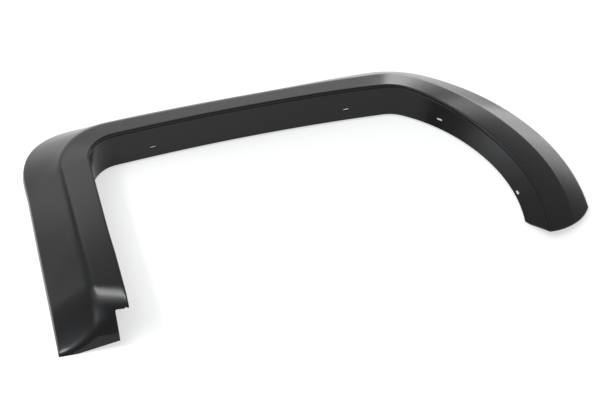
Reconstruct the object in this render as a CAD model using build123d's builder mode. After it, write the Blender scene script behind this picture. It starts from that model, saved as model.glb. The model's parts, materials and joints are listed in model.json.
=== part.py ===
"""Wheel arch trim: a one-piece moulded shell that lies face up on its rim.

X runs along the crown of the arch, Y up the arch and Z outboard, in millimetres. The shell is a
section carried along the lip line, from the foot of a straight leg, over a knee, a crown and a
shoulder, to the tip of a curved leg. The section has a flange into the wheel opening, a lip, a
face, a soft crease, a skirt and a short return down to the seat at Z = 0.
"""

import os
from math import cos, degrees, pi, radians, sin, tan

from build123d import *

# Moulded wall and the outside radii of its edges, whose inside corners stay sharp
wall = 3.0
lip_radius = 3.0
crease_radius = 40.0
rim_radius = 3.0

# Lip line seen from above
straight_leg_length = 428.0
straight_leg_splay = 1.7
knee_radius = 65.0
crown_length = 586.0
crown_radius = 5500.0
shoulder_radius = 97.0
shoulder_turn = 32.6
curved_leg_radius = 388.0
curved_leg_turn = 73.9

# Share of the curved leg at which its middle station lies
leg_station = 0.45

# Height of the lip above the seat, at six stations along the lip line
foot_lip = 100.0
knee_lip = 91.0
crown_lip = 86.0
shoulder_lip = 73.0
leg_lip = 34.0
tip_lip = 19.0

# Width of the face from lip to crease
foot_face = 62.0
knee_face = 58.0
crown_face = 53.0
shoulder_face = 56.0
leg_face = 58.0
tip_face = 50.0

# Fall of the face from lip to crease
foot_fall = 14.0
knee_fall = 14.0
crown_fall = 14.5
shoulder_fall = 15.0
leg_fall = 11.0
tip_fall = 6.0

# Width of the skirt from crease to rim, and what the knee adds for its tighter outer corner
foot_skirt = 78.0
knee_skirt = 76.0
crown_skirt = 72.0
shoulder_skirt = 70.0
leg_skirt = 51.0
tip_skirt = 40.0
knee_corner = 30.0

# Set of the flange's lower edge into the wheel opening, and its height above the seat
foot_set = 1.0
knee_set = 1.0
crown_set = 5.0
shoulder_set = 17.0
leg_set = 35.0
tip_set = 45.0
flange_clearance = 5.0

# Return of the rim
return_height = 10.0
return_draft = 3.0

# Apron that closes the foot: its lean, the soft bend above it, its lower edge and its notch
apron_lean = 13.0
bend_length = 60.0
bend_depth = 30.0
rim_depth = 5.0
apron_seat = 30.0
apron_rise = 16.0
notch_width = 24.0
notch_height = 72.0
notch_rise = 8.0
notch_radius = 5.0
notch_depth = 40.0
flange_end_slope = 45.0

# Tip: a rounded end across face and skirt, and a slanted end on the flange
tip_slant = 13.5
tip_radius = 116.0
tip_sweep = 60.0
flange_slant = 40.0
flange_corner_radius = 12.0

# Fixing slots through the flange and the apron
slot_length = 13.0
slot_width = 4.0
crown_slot_spacing = 424.0
crown_slot_height = 30.0
straight_leg_slot_place = 210.0
straight_leg_slot_height = 30.0
upper_slot_place = 85.0
upper_slot_height = 22.0
lower_slot_place = 365.0
lower_slot_height = 8.0
apron_slot_length = 13.0
apron_slot_width = 7.0
apron_slot_inset = 21.0
apron_slot_height = 7.0

# Sections run on below the seat, where the shell is cut off flat
run_on = return_height

# Number of sections along each run of the lip line, and of steps around the bend
straight_leg_sections = 6
knee_sections = 8
crown_sections = 8
shoulder_sections = 5
curved_leg_sections = 10
bend_steps = 6

# The lip line and the lengths at which its runs end
crown_turn = degrees(crown_length / crown_radius)
knee_turn = 90 - straight_leg_splay - crown_turn / 2

with BuildLine() as lip_line:
    straight_leg = PolarLine((0, 0), straight_leg_length, 90 - straight_leg_splay)
    knee = JernArc(straight_leg @ 1, straight_leg % 1, knee_radius, -knee_turn)
    crown = JernArc(knee @ 1, knee % 1, crown_radius, -crown_turn)
    shoulder = JernArc(crown @ 1, crown % 1, shoulder_radius, -shoulder_turn)
    curved_leg = JernArc(shoulder @ 1, shoulder % 1, curved_leg_radius, -curved_leg_turn)

lip_wire = lip_line.wire()
runs = [straight_leg, knee, crown, shoulder, curved_leg]
run_ends = [sum(run.length for run in runs[:count]) for count in range(len(runs) + 1)]
stations = [
    0,
    (run_ends[1] + run_ends[2]) / 2,
    (run_ends[2] + run_ends[3]) / 2,
    (run_ends[3] + run_ends[4]) / 2,
    run_ends[4] + leg_station * curved_leg.length,
    run_ends[5],
]


def along(values, s):
    """Size at length s: a cubic through the station values with slopes from their neighbours."""
    last = len(stations) - 1
    before = [max(i - 1, 0) for i in range(last + 1)]
    after = [min(i + 1, last) for i in range(last + 1)]
    slopes = [(values[b] - values[a]) / (stations[b] - stations[a]) for a, b in zip(before, after)]
    i = max(k for k in range(last) if stations[k] <= s)
    span = stations[i + 1] - stations[i]
    t = (s - stations[i]) / span
    near = (1 + 2 * t) * values[i] + t * span * slopes[i]
    far = (3 - 2 * t) * values[i + 1] - (1 - t) * span * slopes[i + 1]
    return (1 - t) ** 2 * near + t**2 * far


def skin_corners(s):
    """Corners of the outer skin at s, (outwards, up): flange, lip, crease, rim and return."""
    lip = along((foot_lip, knee_lip, crown_lip, shoulder_lip, leg_lip, tip_lip), s)
    face = along((foot_face, knee_face, crown_face, shoulder_face, leg_face, tip_face), s)
    fall = along((foot_fall, knee_fall, crown_fall, shoulder_fall, leg_fall, tip_fall), s)
    skirt = along((foot_skirt, knee_skirt, crown_skirt, shoulder_skirt, leg_skirt, tip_skirt), s)
    flange_set = along((foot_set, knee_set, crown_set, shoulder_set, leg_set, tip_set), s)
    round_knee = min(max((s - run_ends[1]) / knee.length, 0), 1)
    reach = face + skirt + knee_corner * sin(pi * round_knee) ** 2
    return [
        Vector(-flange_set, flange_clearance),
        Vector(0, lip),
        Vector(face, lip - fall),
        Vector(reach - return_draft, return_height),
        Vector(reach, 0),
    ]


def meeting_point(first, second):
    """Point where two lines meet, each given by two points in the section."""
    run = first[1] - first[0]
    other = second[1] - second[0]
    share = (second[0] - first[0]).cross(other).Z / run.cross(other).Z
    return first[0] + run * share


def inset_corners(corners, gaps):
    """Corners with each side's two ends moved inwards by gaps, and open ends run on below the seat."""
    sides = []
    for start, end, (start_gap, end_gap) in zip(corners, corners[1:], gaps):
        inwards = (end - start).normalized().rotate(Axis.Z, -90)
        sides.append((start + inwards * start_gap, end + inwards * end_gap))
    ground = (Vector(0, -run_on), Vector(1, -run_on))
    inner = [meeting_point(a, b) for a, b in zip(sides, sides[1:])]
    return [meeting_point(sides[0], ground), *inner, meeting_point(sides[-1], ground)]


def section_plane(s, lean=0):
    """Plane across the lip line at s, with its top leaning along the line by an angle."""
    tangent = lip_wire.tangent_at(s, position_mode=PositionMode.LENGTH)
    return Plane(
        origin=lip_wire.position_at(s, position_mode=PositionMode.LENGTH),
        x_dir=tangent.rotate(Axis.Z, 90),
        z_dir=tangent * cos(radians(lean)) - Vector(0, 0, sin(radians(lean))),
    )


def section(s, side_gap, top_gap, rim_gap, lean=0):
    """Section at s: flange and return inset by one gap, face by another, skirt down to a third."""
    stretch = 1 / cos(radians(lean))
    corners = [Vector(p.X, p.Y * stretch) for p in skin_corners(s)]
    sides = (side_gap, side_gap)
    gaps = (sides, (top_gap, top_gap), (top_gap, rim_gap), sides)
    points = inset_corners(corners, gaps)
    lip_round = 0 if side_gap else lip_radius
    crease_round = max(crease_radius - top_gap, wall)
    rim_round = 0 if side_gap else rim_radius
    with BuildSketch(section_plane(s, lean)) as drawn:
        with BuildLine():
            FilletPolyline(*points, radius=(lip_round, crease_round, rim_round))
            Line(points[-1], points[0])
        make_face()
    return drawn.sketch


run_sections = [
    straight_leg_sections,
    knee_sections,
    crown_sections,
    shoulder_sections,
    curved_leg_sections,
]
section_lengths = []
start = bend_length
for end, count in zip(run_ends[1:], run_sections):
    section_lengths += [start + (end - start) * (k + 1) / count for k in range(count)]
    start = end

# Depth behind the lip line that is clear of the flange
clear = lip_radius + wall

bend_angles = [90 * k / bend_steps for k in range(bend_steps + 1)]


def form(gap):
    """Solid under the skin, set in by a gap: the long loft and the bend down into the apron."""
    bend_sections = []
    for angle in bend_angles:
        s = gap + (bend_length - gap) * (1 - sin(radians(angle)))
        sink = 1 - cos(radians(angle))
        top_gap = gap + (bend_depth - gap) * sink
        rim_gap = gap + (rim_depth - gap) * sink
        bend_sections.append(section(s, gap, top_gap, rim_gap, apron_lean))
    long_sections = [section(s, gap, gap, gap) for s in section_lengths]
    with BuildPart() as solid:
        loft([bend_sections[0], *long_sections])
        loft(bend_sections)
    return solid.part


def flange_plane(s, height):
    """Plane on the flange at s and a height above the seat, facing the wheel opening."""
    across = section_plane(s)
    low, lip = skin_corners(s)[:2]
    spot = low + (lip - low) * ((height - low.Y) / (lip - low).Y)
    rise = across.x_dir * (lip - low).X + across.y_dir * (lip - low).Y
    origin = across.origin + across.x_dir * spot.X + across.y_dir * spot.Y
    return Plane(origin, x_dir=across.z_dir, z_dir=across.z_dir.cross(rise))


outer = form(0)
inner = form(wall)
foot = section_plane(0)
tip = section_plane(run_ends[5])
foot_reach = skin_corners(0)[-1].X
notch_top = notch_height + notch_rise
leg_slots = [
    (straight_leg_slot_place, straight_leg_slot_height),
    (run_ends[4] + upper_slot_place, upper_slot_height),
    (run_ends[4] + lower_slot_place, lower_slot_height),
]

with BuildPart() as arch_trim:
    add(outer)
    add(inner, mode=Mode.SUBTRACT)
    split(bisect_by=Plane.XY, keep=Keep.TOP)

    # Lower edge of the flange, clear of the seat
    with BuildSketch():
        with BuildLine():
            add(lip_line.line)
            Line(lip_wire @ 1, lip_wire @ 0)
        make_face()
        offset(amount=clear, kind=Kind.INTERSECTION)
    extrude(amount=flange_clearance, mode=Mode.SUBTRACT)

    # Rounded end of the tip and slanted end of its flange, seen from above
    corner = Vector(-tip_set, tip_set * tan(radians(flange_slant)))
    with BuildSketch(Plane(tip.origin, x_dir=tip.x_dir, z_dir=(0, 0, 1))):
        with BuildLine():
            end_arc = JernArc((0, 0), (1, tan(radians(tip_slant))), tip_radius, tip_sweep)
            run_out = Line(end_arc @ 1, end_arc @ 1 + (end_arc % 1) * tip_radius)
            beyond = Vector((run_out @ 1).X, -tip_radius)
            FilletPolyline(
                (0, 0),
                corner,
                corner + Vector(-tip_set, 2 * tip_set),
                Vector(-3 * tip_set, -tip_radius),
                beyond,
                run_out @ 1,
                radius=(flange_corner_radius, 0, 0, 0),
            )
        make_face()
    extrude(amount=foot_lip, mode=Mode.SUBTRACT)

    # Notch beside the apron, and the flange cut back behind it
    with BuildSketch(foot.offset(-notch_depth)):
        with BuildLine():
            FilletPolyline(
                (0, 0),
                (notch_width, 0),
                (notch_width, notch_height),
                (0, notch_top),
                radius=(0, notch_radius),
            )
            Polyline((0, notch_top), (-clear, notch_top), (-clear, 0), (0, 0))
        make_face()
    extrude(amount=2 * notch_depth, mode=Mode.SUBTRACT)
    with BuildSketch(Plane(foot.origin - foot.x_dir * clear, x_dir=foot.z_dir, z_dir=foot.x_dir)):
        with BuildLine():
            Polyline(
                (0, 0),
                (0, -notch_top),
                (notch_depth, -notch_top),
                (notch_depth + notch_top / tan(radians(flange_end_slope)), 0),
                close=True,
            )
        make_face()
    extrude(amount=2 * clear, mode=Mode.SUBTRACT)

    # Lower edge of the apron, rising from the seat to the notch
    with BuildSketch(foot.offset(-notch_depth)):
        with BuildLine():
            Polyline(
                (foot_reach - apron_seat, 0),
                (notch_width, apron_rise),
                (-clear, apron_rise),
                (-clear, 0),
                close=True,
            )
        make_face()
    extrude(amount=2 * notch_depth, mode=Mode.SUBTRACT)

    # Slots along the flange of the crown, which face straight into the wheel opening
    crown_middle = crown @ 0.5 + Vector(0, 0, crown_slot_height)
    with BuildSketch(Plane(crown_middle, x_dir=(1, 0, 0), z_dir=(0, -1, 0))):
        with GridLocations(crown_slot_spacing, 0, 2, 1):
            SlotOverall(slot_length, slot_width)
    extrude(amount=tip_set, both=True, mode=Mode.SUBTRACT)

    # Slots along the flanges of the two legs
    for place, height in leg_slots:
        with BuildSketch(flange_plane(place, height)):
            SlotOverall(slot_length, slot_width)
        extrude(amount=clear, both=True, mode=Mode.SUBTRACT)

    # Slot through the apron beside the rim
    with BuildSketch(foot.offset(-notch_depth)):
        with Locations((foot_reach - apron_slot_inset, apron_slot_height)):
            SlotOverall(apron_slot_length, apron_slot_width)
    extrude(amount=2 * notch_depth, mode=Mode.SUBTRACT)

# The origin lies on the seat, in the middle of what the shell covers there
seat = arch_trim.faces().group_by(Axis.Z)[0]
middle = Compound(seat).bounding_box().center()
arch_trim.part.locate(Location((-middle.X, -middle.Y, 0)))

os.makedirs("parts", exist_ok=True)
arch_trim.part.label = "arch_trim"
export_step(arch_trim.part, "parts/arch_trim.step")
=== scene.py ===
"""Looks of the wheel arch trim: one satin black moulded shell on a white sweep."""

import json
import logging
import math
from dataclasses import dataclass, field
from enum import Enum

import bmesh
import bpy
import numpy as np
from mathutils import Matrix, Vector

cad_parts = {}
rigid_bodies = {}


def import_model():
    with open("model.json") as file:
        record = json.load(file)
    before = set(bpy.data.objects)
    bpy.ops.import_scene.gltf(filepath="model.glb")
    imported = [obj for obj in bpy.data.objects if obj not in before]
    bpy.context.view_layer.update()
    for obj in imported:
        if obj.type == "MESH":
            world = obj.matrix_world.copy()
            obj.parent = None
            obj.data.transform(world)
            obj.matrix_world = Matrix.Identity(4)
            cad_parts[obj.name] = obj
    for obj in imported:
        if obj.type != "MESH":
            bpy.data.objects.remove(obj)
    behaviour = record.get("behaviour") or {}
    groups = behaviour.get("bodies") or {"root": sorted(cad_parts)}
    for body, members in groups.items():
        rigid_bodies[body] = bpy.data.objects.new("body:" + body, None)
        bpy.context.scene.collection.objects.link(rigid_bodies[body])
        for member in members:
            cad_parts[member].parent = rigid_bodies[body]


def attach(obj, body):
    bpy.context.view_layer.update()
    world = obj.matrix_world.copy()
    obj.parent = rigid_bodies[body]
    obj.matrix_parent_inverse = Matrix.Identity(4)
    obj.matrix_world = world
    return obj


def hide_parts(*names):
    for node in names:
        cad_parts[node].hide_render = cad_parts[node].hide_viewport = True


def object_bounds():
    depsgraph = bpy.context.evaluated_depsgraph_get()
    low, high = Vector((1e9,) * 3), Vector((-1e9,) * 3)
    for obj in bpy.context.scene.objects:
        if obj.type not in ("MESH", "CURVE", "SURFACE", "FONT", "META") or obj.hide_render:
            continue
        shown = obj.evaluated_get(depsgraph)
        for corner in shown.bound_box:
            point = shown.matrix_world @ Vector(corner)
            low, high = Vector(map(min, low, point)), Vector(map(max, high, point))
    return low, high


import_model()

LOG = logging.getLogger("arch_trim")
MM = 0.001
RIGHT = np.array((1.0, 0.0, 0.0))
UP = np.array((0.0, 0.0, 1.0))
CAD_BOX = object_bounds()


class Ray(Enum):
    """Rays that see the bright sweep, by the name of the Light Path output."""

    CAMERA = "Is Camera Ray"
    GLOSSY = "Is Glossy Ray"
    TRANSMISSION = "Is Transmission Ray"


class Skin(Enum):
    """The two skins of the moulded wall, by their depth under the outside in millimetres."""

    OUTER = 0.0
    INNER = 3.0


def spatial(plan: complex, height: float = 0.0) -> np.ndarray:
    """Turn a plan position into a point.

    Args:
        plan: Position seen from above, as x + iy in millimetres.
        height: Height above the seat in millimetres.

    Returns:
        The point or direction as three coordinates.
    """
    return np.array((plan.real, plan.imag, height))


def cross(first: np.ndarray, second: np.ndarray) -> np.ndarray:
    """Cross product of plane vectors held as complex numbers.

    Args:
        first: First vectors.
        second: Second vectors.

    Returns:
        The signed areas that the pairs span.
    """
    return np.imag(np.conj(first) * second)


@dataclass(frozen=True)
class LipLine:
    """Lip seen from above: straight leg, knee, crown, shoulder and curved leg.

    Each run has an even bend to the right. A run of length l and bend b that starts at heading h
    ends at the chord l sinc(b l / 2) exp(i (h - b l / 2)) from its start.

    Attributes:
        start: Foot of the lip line in the frame, as x + iy in millimetres.
        straight_leg: Length of the straight leg in millimetres.
        splay: Lean of the straight leg off the arch's height in degrees.
        knee_radius: Radius of the knee.
        crown_length: Length of the crown.
        crown_radius: Radius of the slightly bowed crown.
        shoulder_radius: Radius of the shoulder.
        shoulder_turn: Turn of the shoulder in degrees.
        leg_radius: Radius of the curved leg.
        leg_turn: Turn of the curved leg in degrees.
    """

    start: complex = complex(-416.56, -314.19)
    straight_leg: float = 428.0
    splay: float = 1.7
    knee_radius: float = 65.0
    crown_length: float = 586.0
    crown_radius: float = 5500.0
    shoulder_radius: float = 97.0
    shoulder_turn: float = 32.6
    leg_radius: float = 388.0
    leg_turn: float = 73.9

    @property
    def start_heading(self) -> float:
        """Heading of the straight leg in radians."""
        return math.radians(90.0 - self.splay)

    @property
    def bends(self) -> np.ndarray:
        """Turn of each run per millimetre."""
        knee, crown = self.knee_radius, self.crown_radius
        return 1.0 / np.array((math.inf, knee, crown, self.shoulder_radius, self.leg_radius))

    @property
    def lengths(self) -> np.ndarray:
        """Length of each run in millimetres."""
        knee = self.knee_radius * (self.start_heading - self.crown_length / self.crown_radius / 2)
        shoulder = self.shoulder_radius * math.radians(self.shoulder_turn)
        leg = self.leg_radius * math.radians(self.leg_turn)
        return np.array((self.straight_leg, knee, self.crown_length, shoulder, leg))

    @property
    def ends(self) -> np.ndarray:
        """Lengths along the line at which the runs start and end."""
        return np.concatenate(([0.0], np.cumsum(self.lengths)))

    def heading(self, s: np.ndarray) -> np.ndarray:
        """Heading of the line.

        Args:
            s: Lengths along the line.

        Returns:
            Headings in radians, against the clock from +X.
        """
        turned = np.concatenate(([0.0], np.cumsum(self.lengths * self.bends)))
        return self.start_heading - np.interp(s, self.ends, turned)

    def tangent(self, s: np.ndarray) -> np.ndarray:
        """Direction of the line as complex numbers of length one.

        Args:
            s: Lengths along the line.

        Returns:
            The directions.
        """
        return np.exp(1j * self.heading(s))

    def place(self, s: np.ndarray) -> np.ndarray:
        """Position of the line.

        Args:
            s: Lengths along the line.

        Returns:
            Plan positions as complex numbers in millimetres.
        """
        ends = self.ends
        heads = self.heading(ends)[:-1]
        chords = self.chord(heads, self.bends, self.lengths)
        starts = self.start + np.concatenate(([0.0], np.cumsum(chords)))
        run = np.clip(np.searchsorted(ends, s, side="right") - 1, 0, len(heads) - 1)
        return starts[run] + self.chord(heads[run], self.bends[run], s - ends[run])

    @staticmethod
    def chord(heading: np.ndarray, bend: np.ndarray, length: np.ndarray) -> np.ndarray:
        """Chord of an arc that bends to the right.

        Args:
            heading: Heading at the start of the arc.
            bend: Turn per millimetre.
            length: Length of the arc.

        Returns:
            The chord as a complex number.
        """
        half = bend * length / 2
        return length * np.sinc(half / np.pi) * np.exp(1j * (heading - half))


@dataclass(frozen=True)
class SectionSizes:
    """Sizes of the section at six stations: foot, knee, crown, shoulder, leg and tip.

    Attributes:
        line: Lip line that the section follows.
        lip: Height of the lip.
        face: Width of the face.
        fall: Fall of the face from lip to crease.
        skirt: Width of the skirt.
        inset: Set of the flange's lower edge into the wheel opening.
        crease: Outside radius of the crease.
        clearance: Height of the flange's lower edge above the seat.
        knee_corner: Width that the knee adds to the skirt.
        leg_station: Share of the curved leg at which the leg's station lies.
        return_height: Height of the return under the rim.
        return_draft: Draft of the return.
    """

    line: LipLine = LipLine()
    lip: tuple[float, ...] = (100.0, 91.0, 86.0, 73.0, 34.0, 19.0)
    face: tuple[float, ...] = (62.0, 58.0, 53.0, 56.0, 58.0, 50.0)
    fall: tuple[float, ...] = (14.0, 14.0, 14.5, 14.0, 8.0, 3.5)
    skirt: tuple[float, ...] = (78.0, 76.0, 72.0, 70.0, 51.0, 40.0)
    inset: tuple[float, ...] = (1.0, 1.0, 5.0, 17.0, 35.0, 45.0)
    crease: tuple[float, ...] = (40.0, 40.0, 40.0, 30.0, 14.0, 10.0)
    clearance: float = 5.0
    knee_corner: float = 30.0
    leg_station: float = 0.45
    return_height: float = 10.0
    return_draft: float = 3.0

    def along(self, values: tuple[float, ...], s: np.ndarray) -> np.ndarray:
        """Size along the line: a cubic through the stations, with slopes from their neighbours.

        Args:
            values: Sizes at the stations.
            s: Lengths along the line.

        Returns:
            The sizes at s.
        """
        ends = self.line.ends
        middles = (ends[1:4] + ends[2:5]) / 2
        leg = ends[4] + self.leg_station * self.line.lengths[4]
        stations = np.array((0.0, *middles, leg, ends[5]))
        sizes = np.array(values)
        count = np.arange(len(stations))
        before = np.maximum(count - 1, 0)
        after = np.minimum(count + 1, count[-1])
        slopes = (sizes[after] - sizes[before]) / (stations[after] - stations[before])
        i = np.clip(np.searchsorted(stations, s, side="right") - 1, 0, count[-1] - 1)
        span = stations[i + 1] - stations[i]
        t = (s - stations[i]) / span
        near = (1 + 2 * t) * sizes[i] + t * span * slopes[i]
        far = (3 - 2 * t) * sizes[i + 1] - (1 - t) * span * slopes[i + 1]
        return (1 - t) ** 2 * near + t**2 * far

    def corners(self, s: np.ndarray) -> np.ndarray:
        """Sharp corners of the outer section: flange edge, lip, crease, rim and seat.

        Args:
            s: Lengths along the line.

        Returns:
            Five rows of corners as complex numbers, outwards + i upwards.
        """
        lip = self.along(self.lip, s)
        face = self.along(self.face, s)
        knee_start, knee_end = self.line.ends[1:3]
        round_knee = np.clip((s - knee_start) / (knee_end - knee_start), 0.0, 1.0)
        corner = self.knee_corner * np.sin(np.pi * round_knee) ** 2
        reach = face + self.along(self.skirt, s) + corner
        return np.stack((
            -self.along(self.inset, s) + 1j * self.clearance,
            1j * lip,
            face + 1j * (lip - self.along(self.fall, s)),
            reach - self.return_draft + 1j * self.return_height,
            reach + 0j,
        ))


@dataclass(frozen=True)
class FootSizes:
    """Soft bend at the foot, the leaning apron below it and its notch, in millimetres.

    Attributes:
        lean: Lean of the apron in degrees.
        turn: Turn of the apron towards its outer side in degrees.
        roll_length: Length of the roll along the leg.
        roll_depth: Depth of the roll where it turns upright.
        roll_skew: Length by which the roll starts earlier, per millimetre outwards.
        steepness: Steepest slope below the roll at lip, crease and rim, in degrees.
        edge_radius: Radius between roll and apron at lip, crease and rim.
        lowest: Height above the seat under which the roll doesn't drop, outside and inside.
        upright_after: Length behind the roll in which the sections come upright.
        seat_width: Width of the apron that stands on the seat.
        rise: Height of the apron's lower edge beside the notch.
        notch_width: Width of the notch from the lip line.
        notch_height: Height of the notch at its side.
        notch_rise: Rise of the notch's top towards the lip.
        notch_radius: Radius in the notch's corner.
        notch_depth: Reach of the notch along the leg.
        notch_side: Reach of the cuts to both sides of the flange.
    """

    lean: float = 13.0
    turn: float = 4.0
    roll_length: float = 45.0
    roll_depth: float = 30.0
    roll_skew: float = 0.5
    steepness: tuple[float, float, float] = (88.0, 37.0, 1.0)
    edge_radius: tuple[float, float, float] = (10.0, 16.0, 7.0)
    lowest: tuple[float, float] = (1.2, 0.3)
    upright_after: float = 160.0
    seat_width: float = 30.0
    rise: float = 16.0
    notch_width: float = 24.0
    notch_height: float = 72.0
    notch_rise: float = 8.0
    notch_radius: float = 5.0
    notch_depth: float = 40.0
    notch_side: float = 6.0


@dataclass(frozen=True)
class TipSizes:
    """Rounded end of the curved leg and slanted end of its flange.

    Attributes:
        slant: Slant of the end where it leaves the lip, in degrees.
        radius: Radius of the rounded end in millimetres.
        sweep: Sweep of the rounded end in degrees.
        flange_slant: Slant of the flange's end in degrees.
        corner_radius: Radius on the flange's corner in millimetres.
        steps: Points on the rounded end.
    """

    slant: float = 13.5
    radius: float = 116.0
    sweep: float = 60.0
    flange_slant: float = 40.0
    corner_radius: float = 12.0
    steps: int = 40


@dataclass(frozen=True)
class SlotSizes:
    """Fixing slots in the flange and the apron, in millimetres.

    Attributes:
        length: Length of a flange slot.
        width: Width of a flange slot.
        crown_spacing: Spacing of the two crown slots.
        crown_height: Height of the crown slots above the seat.
        crown_depth: Reach of the crown slots' cuts to both sides.
        leg_places: Lengths along the lip line of the three slots in the legs, the last two measured
            from the start of the curved leg.
        leg_heights: Heights of those slots above the seat.
        leg_depth: Reach of those slots' cuts to both sides.
        apron_width: Width of the apron's slot.
        apron_inset: Distance of the apron's slot from the rim.
        apron_height: Height of the apron's slot above the seat.
        apron_depth: Reach of the apron slot's cut to both sides.
        apron_tilt: Tilt of the apron's slot off the upright in degrees.
    """

    length: float = 13.0
    width: float = 4.0
    crown_spacing: float = 424.0
    crown_height: float = 30.0
    crown_depth: float = 40.0
    leg_places: tuple[float, float, float] = (210.0, 85.0, 365.0)
    leg_heights: tuple[float, float, float] = (30.0, 22.0, 8.0)
    leg_depth: float = 6.0
    apron_width: float = 5.5
    apron_inset: float = 21.0
    apron_height: float = 5.5
    apron_depth: float = 12.0
    apron_tilt: float = 45.0


@dataclass(frozen=True)
class Prism:
    """Cutter with an even outline.

    Attributes:
        outline: Corners of the outline as complex numbers in millimetres.
        origin: Point at which the outline's zero lies.
        across: Direction of the outline's real part.
        upwards: Direction of the outline's imaginary part.
        reach: Distances along the third direction at which the prism starts and ends.
    """

    outline: np.ndarray
    origin: np.ndarray
    across: np.ndarray
    upwards: np.ndarray
    reach: tuple[float, float]

    def mesh(self, name: str) -> bpy.types.Mesh:
        """Make the closed prism.

        Args:
            name: Name of the mesh.

        Returns:
            The mesh, in metres.
        """
        count = len(self.outline)
        depth = np.cross(self.across, self.upwards)
        flat = self.outline.real[:, None] * self.across + self.outline.imag[:, None] * self.upwards
        ends = [self.origin + flat + depth * end for end in self.reach]
        here = np.arange(count)
        after = (here + 1) % count
        sides = np.stack((here, after, after + count, here + count), axis=1)
        faces = sides.tolist() + [here[::-1].tolist(), (here + count).tolist()]
        mesh = bpy.data.meshes.new(name)
        mesh.from_pydata((np.concatenate(ends) * MM).tolist(), [], faces)
        turn_outwards(mesh)
        return mesh


def turn_outwards(mesh: bpy.types.Mesh) -> None:
    """Turn all faces of a closed mesh outwards.

    Args:
        mesh: The mesh to change.
    """
    work = bmesh.new()
    work.from_mesh(mesh)
    bmesh.ops.recalc_face_normals(work, faces=work.faces)
    work.to_mesh(mesh)
    work.free()


def stadium(length: float, width: float, steps: int = 12) -> np.ndarray:
    """Outline of a slot with round ends.

    Args:
        length: Length over all.
        width: Width.
        steps: Points on each round end.

    Returns:
        The outline as complex numbers about zero.
    """
    half_turn = np.exp(1j * np.linspace(-np.pi / 2, np.pi / 2, steps)) * width / 2
    end = half_turn + (length - width) / 2
    return np.concatenate((end, -end))


def rounded(
    before: complex, corner: complex, after: complex, radius: float, steps: int = 10
) -> np.ndarray:
    """Arc that rounds one corner of an outline.

    Args:
        before: Corner before it.
        corner: The corner itself.
        after: Corner after it.
        radius: Radius of the arc.
        steps: Points on the arc.

    Returns:
        The arc as complex numbers, from the side of the corner before.
    """
    incoming = (corner - before) / abs(corner - before)
    outgoing = (after - corner) / abs(after - corner)
    turn = np.angle(outgoing / incoming)
    start = corner - incoming * radius * abs(math.tan(turn / 2))
    spoke = -1j * np.sign(turn) * incoming * radius
    return start - spoke + spoke * np.exp(1j * turn * np.linspace(0.0, 1.0, steps))


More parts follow.
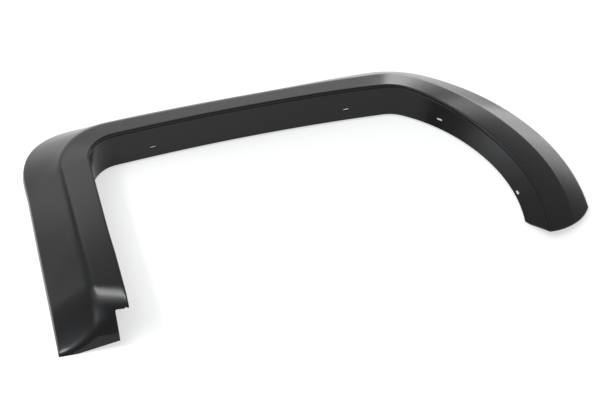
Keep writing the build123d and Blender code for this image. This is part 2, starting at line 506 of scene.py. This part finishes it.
@dataclass
class ArchShell:
    """The moulded shell: two skins on grids, closed at their edges and cut as the trim is.

    A row of the grid is the section at one length along the lip line, and a column is one place in
    the section. Each side of the section is a line moved inwards by its gap, the corners are where
    neighbouring lines meet, and an arc rounds each corner. At the foot the section drops along a
    skewed line: over a length x past it by d (1 - sqrt(1 - (x / l)^2)), a quarter of an ellipse,
    up to the steepest slope, and then straight on. A quarter of a circle of radius r rounds its
    end into the apron: r - sqrt(r^2 - x^2) over the last length x. Sections there lean and turn as
    the apron does, and come upright behind the roll.

    Attributes:
        sizes: Sizes of the section.
        foot: Sizes of the foot.
        tip: Sizes of the tip.
        slots: Sizes of the slots.
        lip_radius: Outside radius of the lip in millimetres.
        rim_radius: Outside radius of the rim.
        inner_radius: Radius of the inside corners.
        bend_rows: Rows around the bend.
        run_rows: Rows along each run of the lip line.
        columns: Columns on flange, lip, face, crease, skirt, rim and return.
        groove_places: Distances below the lip at which columns draw the groove in the flange.
        groove_depths: Depths of the groove there.
        overrun: Length by which the skins run past the tip before it is cut.
        sharp_angle: Angle in degrees past which an edge is drawn sharp.
    """

    sizes: SectionSizes = field(default_factory=SectionSizes)
    foot: FootSizes = field(default_factory=FootSizes)
    tip: TipSizes = field(default_factory=TipSizes)
    slots: SlotSizes = field(default_factory=SlotSizes)
    lip_radius: float = 3.0
    rim_radius: float = 3.0
    inner_radius: float = 0.6
    bend_rows: int = 28
    run_rows: tuple[int, ...] = (34, 36, 60, 20, 100)
    columns: tuple[int, ...] = (18, 7, 16, 12, 20, 6, 3)
    groove_places: tuple[float, ...] = (5.0, 4.2, 3.4, 2.6, 1.8, 1.0)
    groove_depths: tuple[float, ...] = (0.0, 0.5, 1.4, 1.4, 0.5, 0.0)
    overrun: float = 1.0
    sharp_angle: float = 30.0

    def rows(self, skin: Skin) -> tuple[np.ndarray, np.ndarray]:
        """Lay out the rows of one skin.

        Args:
            skin: The skin.

        Returns:
            Lengths along the lip line and share of the apron's lean and turn, row by row.
        """
        gap = skin.value
        angle = np.linspace(np.pi / 2, 0.0, self.bend_rows)
        roll = self.foot.roll_length + self.foot.roll_skew * self.foot_reach
        bend = gap + (roll - gap) * (1 - np.sin(angle))
        stops = self.sizes.line.ends.copy()
        stops[0] = roll
        stops[-1] += self.overrun
        runs = [np.linspace(a, b, n + 1)[1:] for a, b, n in zip(stops, stops[1:], self.run_rows)]
        s = np.concatenate((bend, *runs))
        t = np.clip((s - roll) / self.foot.upright_after, 0.0, 1.0)
        return s, 1 - t * t * (3 - 2 * t)

    @property
    def foot_reach(self) -> float:
        """Distance of the rim from the lip line at the foot."""
        return float(self.sizes.corners(np.zeros(1))[-1, 0].real)

    def drop(self, gap: float, s: np.ndarray, outwards: np.ndarray) -> np.ndarray:
        """Drop of the skin at the foot: the roll, the straight slope and the rounded end.

        Args:
            gap: Depth of the skin, which also lies further back by it.
            s: Lengths along the lip line.
            outwards: Distances from the lip line.

        Returns:
            The drops in millimetres.
        """
        foot = self.foot
        past = np.maximum(foot.roll_length + gap + foot.roll_skew * outwards - s, 0.0)
        stations = (0.0, self.sizes.face[0], self.foot_reach)
        steepest = np.tan(np.radians(np.interp(outwards, stations, foot.steepness)))
        flatness = foot.roll_depth / foot.roll_length
        turned = foot.roll_length * steepest / np.hypot(steepest, flatness)
        rolled = np.minimum(past, turned) / foot.roll_length
        roll = foot.roll_depth * (1 - np.sqrt(1 - rolled**2))
        straight = steepest * np.maximum(past - turned, 0.0)
        radius = np.interp(outwards, stations, foot.edge_radius)
        edge = np.clip(radius + gap - s, 0.0, radius)
        return roll + straight + radius - np.sqrt(radius**2 - edge**2)

    def flange(self, skin: Skin, low: np.ndarray, high: np.ndarray) -> np.ndarray:
        """Draw the flange: even columns, and closer ones for the groove under the lip.

        Args:
            skin: The skin, of which only the outer one has the groove.
            low: Lower ends of the flange, row by row.
            high: Ends at the lip.

        Returns:
            Columns by rows of points.
        """
        places = np.array(self.groove_places)[:, None]
        depths = np.array(self.groove_depths)[:, None] * (skin is Skin.OUTER)
        length = np.abs(high - low)
        rise = (high - low) / length
        even = np.linspace(0.0, 1.0, self.columns[0] - len(places), endpoint=False)[:, None]
        plain = low + rise * even * (length - places[0])
        groove = high - rise * places - 1j * rise * depths
        return np.concatenate((plain, groove))

    def outline(self, skin: Skin, s: np.ndarray, lean: np.ndarray) -> np.ndarray:
        """Draw the section of one skin at every row, before it drops at the foot.

        Args:
            skin: The skin.
            s: Lengths along the lip line.
            lean: Lean of the sections in radians.

        Returns:
            Columns by rows of points, outwards + i up the leaning section.
        """
        gap = skin.value
        corners = self.sizes.corners(s)
        corners = corners.real + 1j * corners.imag / np.cos(lean)
        inwards = -1j * np.diff(corners, axis=0)
        inwards /= np.abs(inwards)
        starts = corners[:-1] + inwards * gap
        sides = np.diff(corners, axis=0)
        sides /= np.abs(sides)
        share = cross(np.diff(starts, axis=0), sides[1:]) / cross(sides[:-1], sides[1:])
        meets = starts[:-1] + sides[:-1] * share
        low = self.sizes.clearance / np.cos(lean)
        first = starts[0] + sides[0] * (low - starts[0].imag) / sides[0].imag
        last = starts[-1] - sides[-1] * starts[-1].imag / sides[-1].imag
        crease = self.sizes.along(self.sizes.crease, s) - gap
        lip_radius = self.lip_radius if skin is Skin.OUTER else self.inner_radius
        rim_radius = self.rim_radius if skin is Skin.OUTER else self.inner_radius
        radii = np.stack((np.full_like(s, lip_radius), crease, np.full_like(s, rim_radius)))
        turns = -np.angle(sides[1:] / sides[:-1])
        tangents = radii * np.tan(turns / 2)
        arc_starts = meets - sides[:-1] * tangents
        arc_ends = meets + sides[1:] * tangents
        line_starts = np.concatenate((first[None], arc_ends))
        line_ends = np.concatenate((arc_starts, last[None]))
        pieces = []
        for k, count in enumerate(self.columns):
            share = np.linspace(0.0, 1.0, count, endpoint=False)[:, None]
            corner = k // 2
            if k == 0:
                pieces.append(self.flange(skin, line_starts[0], line_ends[0]))
            elif k % 2 == 0:
                pieces.append(line_starts[corner] * (1 - share) + line_ends[corner] * share)
            else:
                spoke = 1j * sides[corner] * radii[corner]
                swing = np.exp(-1j * turns[corner] * share)
                pieces.append(arc_starts[corner] - spoke + spoke * swing)
        return np.concatenate((*pieces, last[None]))

    def section(self, skin: Skin, s: np.ndarray, lean: np.ndarray) -> np.ndarray:
        """Draw the section of one skin at every row and let it drop at the foot.

        The flange takes a share of the drop that grows from its lower edge to the lip, and the
        return one that falls from the rim to the seat.

        Args:
            skin: The skin.
            s: Lengths along the lip line.
            lean: Lean of the sections in radians.

        Returns:
            Columns by rows of points, outwards + i up the leaning section.
        """
        drawn = self.outline(skin, s, lean)
        flange, back = self.columns[0], self.columns[-1]
        held = np.ones(drawn.shape)
        held[:flange] = np.abs(drawn[:flange] - drawn[0]) / np.abs(drawn[flange] - drawn[0])
        held[-back - 1 :] = np.linspace(1.0, 0.0, back + 1)[:, None]
        dropped = drawn.imag - held * self.drop(skin.value, s, np.maximum(drawn.real, 0.0))
        lowest = self.foot.lowest[skin is Skin.INNER]
        return drawn.real + 1j * np.maximum(dropped, np.minimum(drawn.imag, lowest))

    def skin(self, skin: Skin) -> np.ndarray:
        """Carry the section along the lip line.

        Args:
            skin: The skin.

        Returns:
            Rows by columns of points in millimetres.
        """
        s, share = self.rows(skin)
        lean = math.radians(self.foot.lean) * share
        drawn = self.section(skin, s, lean)
        line = self.sizes.line
        ahead = line.tangent(s) * np.exp(-1j * math.radians(self.foot.turn) * share)
        plan = line.place(s) + ahead * (1j * drawn.real + drawn.imag * np.sin(lean))
        height = drawn.imag * np.cos(lean)
        return np.stack((plan.real, plan.imag, height), axis=-1).transpose(1, 0, 2)

    def blank(self) -> bpy.types.Mesh:
        """Close the two skins to a shell that isn't cut yet.

        Returns:
            The closed mesh in metres.
        """
        outer = self.skin(Skin.OUTER)
        inner = self.skin(Skin.INNER)
        rows, columns = outer.shape[:2]
        out = np.arange(rows * columns).reshape(rows, columns)
        within = out + rows * columns

        def band(one: np.ndarray, two: np.ndarray) -> np.ndarray:
            """Quads between two equal lines of vertices."""
            return np.stack((one[:-1], one[1:], two[1:], two[:-1]), axis=-1).reshape(-1, 4)

        quads = np.concatenate((
            band(out[:, :-1], out[:, 1:]),
            band(within[:, 1:], within[:, :-1]),
            band(out[:, 0], within[:, 0]),
            band(out[:, -1], within[:, -1]),
            band(out[-1], within[-1]),
            np.array([(out[0, 0], out[0, -1], within[0, -1], within[0, 0])]),
        ))
        caps = [out[0].tolist(), within[0].tolist()]
        points = np.concatenate((outer.reshape(-1, 3), inner.reshape(-1, 3))) * MM
        mesh = bpy.data.meshes.new("arch_shell")
        mesh.from_pydata(points.tolist(), [], quads.tolist() + caps)
        turn_outwards(mesh)
        return mesh

    def foot_cuts(self) -> list[Prism]:
        """Cuts at the foot: the notch, the flange's end and the apron's lower edge.

        Returns:
            The cutters.
        """
        foot = self.foot
        line = self.sizes.line
        ahead = line.tangent(np.zeros(1))[0]
        along, outwards = spatial(ahead), spatial(1j * ahead)
        origin = spatial(line.start)
        below = -1j * foot.notch_radius
        top = foot.notch_height + foot.notch_rise
        far = -foot.notch_side
        corner = complex(foot.notch_width, foot.notch_height)
        bottom = foot.notch_width + below
        round_corner = rounded(bottom, corner, 1j * top, foot.notch_radius)
        notch = np.concatenate(([far + below, bottom], round_corner, [1j * top, far + 1j * top]))
        reach = self.foot_reach - foot.seat_width
        rise = 1j * foot.rise
        lower = np.array((far + below, reach + below, reach, foot.notch_width + rise, far + rise))
        depth = (-foot.notch_depth, foot.notch_depth)
        slope_end = foot.notch_depth + top + foot.notch_radius
        behind = np.array((below, slope_end + below, foot.notch_depth + 1j * top, 1j * top))
        return [
            Prism(notch, origin, outwards, UP, depth),
            Prism(lower, origin, outwards, UP, depth),
            Prism(behind, origin, along, UP, (-foot.notch_side, foot.notch_side)),
        ]

    def tip_cut(self) -> Prism:
        """Cut of the rounded end and the flange's slanted end, seen from above.

        Returns:
            The cutter.
        """
        tip = self.tip
        line = self.sizes.line
        end = line.ends[-1:]
        ahead = line.tangent(end)[0]
        inset = self.sizes.inset[-1]
        start = np.exp(1j * math.radians(tip.slant))
        turn = np.exp(1j * np.radians(np.linspace(0.0, tip.sweep, tip.steps)))
        arc = 1j * start * tip.radius * (1 - turn)
        run_out = arc[-1] + start * turn[-1] * tip.radius
        corner = complex(-inset, inset * math.tan(math.radians(tip.flange_slant)))
        past = corner + complex(-inset, 2 * inset)
        round_corner = rounded(past, corner, 0j, tip.corner_radius)
        beyond = -1j * tip.radius
        outside = [run_out, run_out.real + beyond, -3 * inset + beyond, past]
        outline = np.concatenate((arc, outside, round_corner))
        heights = (-self.sizes.return_height, self.sizes.lip[0])
        origin = spatial(line.place(end)[0])
        return Prism(outline, origin, spatial(1j * ahead), spatial(-ahead), heights)

    def slot_cuts(self) -> list[Prism]:
        """Cuts of the six fixing slots.

        Returns:
            The cutters.
        """
        slots = self.slots
        line = self.sizes.line
        outline = stadium(slots.length, slots.width)
        middle = (line.ends[2:3] + line.ends[3:4]) / 2
        crown = spatial(line.place(middle)[0], slots.crown_height)
        depth = (-slots.crown_depth, slots.crown_depth)
        cuts = []
        for side in (-1, 1):
            moved = outline + side * slots.crown_spacing / 2
            cuts.append(Prism(moved, crown, RIGHT, UP, depth))
        depth = (-slots.leg_depth, slots.leg_depth)
        starts = np.array((0.0, line.ends[4], line.ends[4]))
        for s, height in zip(starts + slots.leg_places, slots.leg_heights):
            low, lip = self.sizes.corners(np.array((s,)))[:2, 0]
            spot = low + (lip - low) * (height - low.imag) / (lip - low).imag
            ahead = line.tangent(np.array((s,)))[0]
            origin = spatial(line.place(np.array((s,)))[0] + 1j * ahead * spot.real, spot.imag)
            rise = (lip - low) / abs(lip - low)
            upwards = spatial(1j * ahead * rise.real, rise.imag)
            cuts.append(Prism(outline, origin, spatial(ahead), upwards, depth))
        ahead = line.tangent(np.zeros(1))[0] * np.exp(-1j * math.radians(self.foot.turn))
        side = 1j * ahead * (self.foot_reach - slots.apron_inset)
        origin = spatial(line.start + side, slots.apron_height)
        tilt = np.exp(1j * math.radians(slots.apron_tilt))
        upwards = spatial(ahead * tilt.imag, tilt.real)
        apron = stadium(slots.length, slots.apron_width)
        depth = (-slots.apron_depth, slots.apron_depth)
        cuts.append(Prism(apron, origin, spatial(1j * ahead), upwards, depth))
        return cuts

    def cut(self, shell: bpy.types.Object) -> None:
        """Cut foot, tip and slots out of the shell with one exact Boolean.

        Args:
            shell: The shell, whose mesh is replaced by the cut one.
        """
        tools = bpy.data.collections.new("shell_cutters")
        bpy.context.scene.collection.children.link(tools)
        prisms = [*self.foot_cuts(), self.tip_cut(), *self.slot_cuts()]
        for number, prism in enumerate(prisms):
            name = f"cutter_{number}"
            tools.objects.link(bpy.data.objects.new(name, prism.mesh(name)))
        cut = shell.modifiers.new("cuts", "BOOLEAN")
        cut.operation = "DIFFERENCE"
        cut.solver = "EXACT"
        cut.operand_type = "COLLECTION"
        cut.collection = tools
        depsgraph = bpy.context.evaluated_depsgraph_get()
        mesh = bpy.data.meshes.new_from_object(shell.evaluated_get(depsgraph))
        shell.modifiers.remove(cut)
        raw = shell.data
        shell.data = mesh
        bpy.data.meshes.remove(raw)
        for cutter in list(tools.objects):
            bpy.data.meshes.remove(cutter.data)
        bpy.data.collections.remove(tools)

    def build(self, material: bpy.types.Material) -> bpy.types.Object:
        """Make the shell, cut it and keep it inside the solid's own box.

        Args:
            material: Material of the plastic.

        Returns:
            The shell as one object.
        """
        shell = bpy.data.objects.new("arch_shell", self.blank())
        bpy.context.scene.collection.objects.link(shell)
        self.cut(shell)
        mesh = shell.data
        points = np.empty(len(mesh.vertices) * 3, dtype=np.float32)
        mesh.vertices.foreach_get("co", points)
        points = np.clip(points.reshape(-1, 3), *np.array(CAD_BOX, dtype=np.float32))
        mesh.vertices.foreach_set("co", points.ravel())
        mesh.polygons.foreach_set("use_smooth", np.ones(len(mesh.polygons), dtype=bool))
        mesh.set_sharp_from_angle(angle=math.radians(self.sharp_angle))
        mesh.materials.clear()
        mesh.materials.append(material)
        mesh.name = "arch_shell"
        LOG.info("arch_shell has %d faces", len(mesh.polygons))
        return shell


@dataclass(frozen=True)
class SatinPlastic:
    """Satin black moulded plastic.

    Attributes:
        name: Name of the material.
        colour: Body colour, linear.
        index: Index of refraction.
        roughness: Mean roughness of the skin.
        roughness_swing: How far the roughness wanders across the skin.
        wander_scale: Cells of the wandering roughness per metre.
        wander_detail: Octaves of the wandering roughness.
        grain_scale: Cells of the moulded grain per metre.
        grain_detail: Octaves of the grain.
        grain_strength: Share of the grain's height that the bump shows.
        grain_depth: Height of the grain in metres.
    """

    name: str = "satin_black_plastic"
    colour: tuple[float, float, float] = (0.004, 0.004, 0.0045)
    index: float = 1.4
    roughness: float = 0.21
    roughness_swing: float = 0.03
    wander_scale: float = 9.0
    wander_detail: float = 4.0
    grain_scale: float = 1400.0
    grain_detail: float = 2.0
    grain_strength: float = 0.2
    grain_depth: float = 0.000008

    def build(self) -> bpy.types.Material:
        """Make the material.

        Returns:
            A Principled material with wandering roughness and a fine moulded grain.
        """
        material = bpy.data.materials.new(self.name)
        material.use_nodes = True
        nodes = material.node_tree.nodes
        links = material.node_tree.links
        shader = nodes["Principled BSDF"]
        shader.inputs["Base Color"].default_value = (*self.colour, 1.0)
        shader.inputs["IOR"].default_value = self.index
        place = nodes.new("ShaderNodeTexCoord")
        wander = nodes.new("ShaderNodeTexNoise")
        wander.inputs["Scale"].default_value = self.wander_scale
        wander.inputs["Detail"].default_value = self.wander_detail
        span = nodes.new("ShaderNodeMapRange")
        span.inputs["To Min"].default_value = self.roughness - self.roughness_swing
        span.inputs["To Max"].default_value = self.roughness + self.roughness_swing
        grain = nodes.new("ShaderNodeTexNoise")
        grain.inputs["Scale"].default_value = self.grain_scale
        grain.inputs["Detail"].default_value = self.grain_detail
        bump = nodes.new("ShaderNodeBump")
        bump.inputs["Strength"].default_value = self.grain_strength
        bump.inputs["Distance"].default_value = self.grain_depth
        links.new(place.outputs["Object"], wander.inputs["Vector"])
        links.new(wander.outputs["Fac"], span.inputs["Value"])
        links.new(span.outputs["Result"], shader.inputs["Roughness"])
        links.new(place.outputs["Object"], grain.inputs["Vector"])
        links.new(grain.outputs["Fac"], bump.inputs["Height"])
        links.new(bump.outputs["Normal"], shader.inputs["Normal"])
        return material


@dataclass(frozen=True)
class WhiteSweep:
    """White studio floor that stays white to the camera and keeps the shadow.

    Attributes:
        half_width: Half the width of the floor in metres.
        colour: Colour of the paper.
        lift: Brightness that camera and mirror rays add to the lit paper.
    """

    half_width: float = 14.0
    colour: float = 0.46
    lift: float = 0.6

    def material(self) -> bpy.types.Material:
        """Make the paper, a diffuse surface with a glow that only seen rays pick up.

        Returns:
            The material of the floor.
        """
        material = bpy.data.materials.new("white_sweep_paper")
        material.use_nodes = True
        nodes = material.node_tree.nodes
        links = material.node_tree.links
        nodes.clear()
        paper = nodes.new("ShaderNodeBsdfDiffuse")
        paper.inputs["Color"].default_value = (self.colour, self.colour, self.colour, 1.0)
        glow = nodes.new("ShaderNodeEmission")
        light_path = nodes.new("ShaderNodeLightPath")
        seen = light_path.outputs[Ray.CAMERA.value]
        for ray in (Ray.GLOSSY, Ray.TRANSMISSION):
            either = nodes.new("ShaderNodeMath")
            either.operation = "MAXIMUM"
            links.new(seen, either.inputs[0])
            links.new(light_path.outputs[ray.value], either.inputs[1])
            seen = either.outputs["Value"]
        strength = nodes.new("ShaderNodeMath")
        strength.operation = "MULTIPLY"
        strength.inputs[1].default_value = self.lift
        links.new(seen, strength.inputs[0])
        links.new(strength.outputs["Value"], glow.inputs["Strength"])
        both = nodes.new("ShaderNodeAddShader")
        links.new(paper.outputs["BSDF"], both.inputs[0])
        links.new(glow.outputs["Emission"], both.inputs[1])
        out = nodes.new("ShaderNodeOutputMaterial")
        links.new(both.outputs["Shader"], out.inputs["Surface"])
        return material

    def build(self) -> bpy.types.Object:
        """Lay the floor as one flat square at the seat of the trim.

        Returns:
            The floor object.
        """
        w = self.half_width
        corners = [(-w, -w, 0.0), (w, -w, 0.0), (w, w, 0.0), (-w, w, 0.0)]
        mesh = bpy.data.meshes.new("white_sweep")
        mesh.from_pydata(corners, [], [(0, 1, 2, 3)])
        mesh.materials.append(self.material())
        floor = bpy.data.objects.new("white_sweep", mesh)
        bpy.context.scene.collection.objects.link(floor)
        return floor


@dataclass(frozen=True)
class SoftBox:
    """One rectangular studio lamp.

    Attributes:
        name: Name of the lamp.
        place: Centre of the lamp in metres.
        aim: Point that the lamp faces.
        size: Width and height in metres.
        power: Radiant power in watts.
    """

    name: str
    place: tuple[float, float, float]
    aim: tuple[float, float, float]
    size: tuple[float, float]
    power: float

    def build(self) -> bpy.types.Object:
        """Hang the lamp and turn it to its aim.

        Returns:
            The lamp object.
        """
        lamp = bpy.data.lights.new(self.name, "AREA")
        lamp.shape = "RECTANGLE"
        lamp.size, lamp.size_y = self.size
        lamp.energy = self.power
        holder = bpy.data.objects.new(self.name, lamp)
        facing = Vector(self.aim) - Vector(self.place)
        turn = facing.to_track_quat("-Z", "Y").to_matrix().to_4x4()
        holder.matrix_world = Matrix.Translation(self.place) @ turn
        bpy.context.scene.collection.objects.link(holder)
        return holder


STUDIO_LAMPS = (
    SoftBox(
        "back_strip",
        place=(-0.27, 0.9, 0.2),
        aim=(-0.27, 0.0, 0.2),
        size=(2.05, 0.4),
        power=1.7,
    ),
    SoftBox(
        "right_strip",
        place=(1.4, 0.9, 0.2),
        aim=(0.93, 0.0, 0.2),
        size=(1.6, 0.4),
        power=6.8,
    ),
    SoftBox(
        "right_panel",
        place=(1.75, 0.9, 0.6),
        aim=(1.2, 0.0, 0.3),
        size=(1.1, 0.4),
        power=5.0,
    ),
    SoftBox(
        "back_panel",
        place=(-0.62, 0.9, 0.65),
        aim=(-0.62, 0.0, 0.65),
        size=(0.65, 0.5),
        power=1.8,
    ),
    SoftBox(
        "foot_panel",
        place=(-0.97, -0.07, 0.86),
        aim=(-1.49, -0.07, 0.01),
        size=(0.75, 0.35),
        power=8.7,
    ),
)


@dataclass(frozen=True)
class StudioRoom:
    """White room around the sweep, whose walls brighten into the ceiling.

    Attributes:
        colour: Colour of the room.
        walls: Brightness of the walls at the floor.
        ceiling: Brightness that the room gains towards its top.
        focus: Power of the rays' share towards the top with which it brightens.
        top: Direction of the brightest part of the room.
    """

    colour: tuple[float, float, float] = (0.96, 0.98, 1.0)
    walls: float = 0.45
    ceiling: float = 3.2
    focus: float = 10.0
    top: tuple[float, float, float] = (-0.45, 0.0, 0.89)

    def build(self) -> bpy.types.World:
        """Make the world.

        Returns:
            The world of the scene.
        """
        world = bpy.data.worlds.new("studio_room")
        world.use_nodes = True
        nodes = world.node_tree.nodes
        links = world.node_tree.links
        back = nodes["Background"]
        back.inputs["Color"].default_value = (*self.colour, 1.0)
        rays = nodes.new("ShaderNodeTexCoord")
        share = nodes.new("ShaderNodeVectorMath")
        share.operation = "DOT_PRODUCT"
        share.inputs[1].default_value = self.top
        above = nodes.new("ShaderNodeMath")
        above.operation = "MAXIMUM"
        above.inputs[1].default_value = 0.0
        focus = nodes.new("ShaderNodeMath")
        focus.operation = "POWER"
        focus.inputs[1].default_value = self.focus
        level = nodes.new("ShaderNodeMath")
        level.operation = "MULTIPLY_ADD"
        level.inputs[1].default_value = self.ceiling
        level.inputs[2].default_value = self.walls
        links.new(rays.outputs["Generated"], share.inputs[0])
        links.new(share.outputs["Value"], above.inputs[0])
        links.new(above.outputs["Value"], focus.inputs[0])
        links.new(focus.outputs["Value"], level.inputs[0])
        links.new(level.outputs["Value"], back.inputs["Strength"])
        bpy.context.scene.world = world
        return world


@dataclass(frozen=True)
class PhotoCamera:
    """Camera at the photograph's angle.

    Attributes:
        place: Place of the lens in metres.
        heading: Heading to the right of +Y in degrees.
        depression: Angle below the horizon in degrees.
        focal_pixels: Focal length in pixels of an image of the photograph's width.
        image_width: Width of that image in pixels.
        sensor: Sensor width in millimetres.
        farthest: Distance in metres up to which the camera sees.
    """

    place: tuple[float, float, float] = (-0.66655, -2.13156, 2.1171)
    heading: float = 17.469
    depression: float = 43.927
    focal_pixels: float = 1493.9
    image_width: float = 600.0
    sensor: float = 36.0
    farthest: float = 200.0

    def build(self) -> bpy.types.Object:
        """Set up the camera and make it the scene's own.

        Returns:
            The camera object.
        """
        turn = math.radians(self.heading)
        tilt = math.radians(self.depression)
        level = math.cos(tilt)
        forward = Vector((math.sin(turn) * level, math.cos(turn) * level, -math.sin(tilt)))
        right = Vector((math.cos(turn), -math.sin(turn), 0.0))
        up = right.cross(forward)
        lens = bpy.data.cameras.new("photo_camera")
        lens.sensor_width = self.sensor
        lens.lens = self.focal_pixels / self.image_width * self.sensor
        lens.clip_end = self.farthest
        camera = bpy.data.objects.new("photo_camera", lens)
        axes = Matrix((right, up, -forward)).transposed().to_4x4()
        camera.matrix_world = Matrix.Translation(self.place) @ axes
        bpy.context.scene.collection.objects.link(camera)
        bpy.context.scene.camera = camera
        return camera


def main() -> None:
    """Build the stage and dress the trim."""
    logging.basicConfig(level=logging.INFO)
    bpy.context.scene.view_settings.view_transform = "Standard"
    PhotoCamera().build()
    WhiteSweep().build()
    StudioRoom().build()
    for lamp in STUDIO_LAMPS:
        lamp.build()
    shell = ArchShell().build(SatinPlastic().build())
    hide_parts("arch_trim")
    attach(shell, "root")
    LOG.info("arch_trim dressed")


if __name__ == "__main__":
    main()
